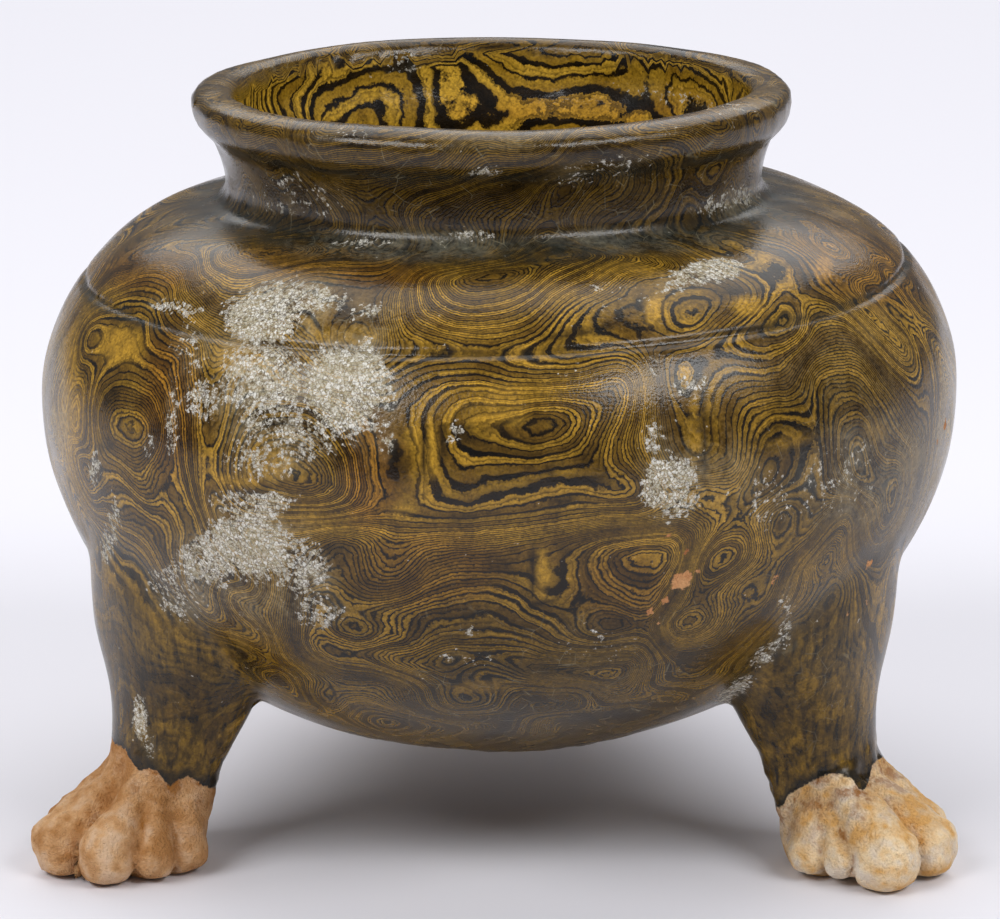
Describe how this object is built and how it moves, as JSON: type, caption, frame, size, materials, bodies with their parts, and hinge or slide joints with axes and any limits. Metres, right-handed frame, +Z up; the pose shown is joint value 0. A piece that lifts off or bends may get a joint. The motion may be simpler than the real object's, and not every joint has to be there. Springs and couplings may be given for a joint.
{
  "type": "clay tripod censer",
  "caption": "Round marbled clay censer with a rolled lip, short neck and incised shoulder ring, standing on paw-shaped feet.",
  "frame": {"origin": "on the ground, below the middle of the outline seen from above", "axes": "+Z up, +Y towards the back leg, -Y the front, midway between the front legs, +X to the right seen from the front"},
  "size_m": [0.231, 0.2426, 0.1877],
  "materials": {
    "glazed_marbled_clay": "amber glaze over marbled clay, worn and flaked, paws bare buff clay"
  },
  "bodies": {
    "root": {"censer": "glazed_marbled_clay"}
  },
  "joints": []
}
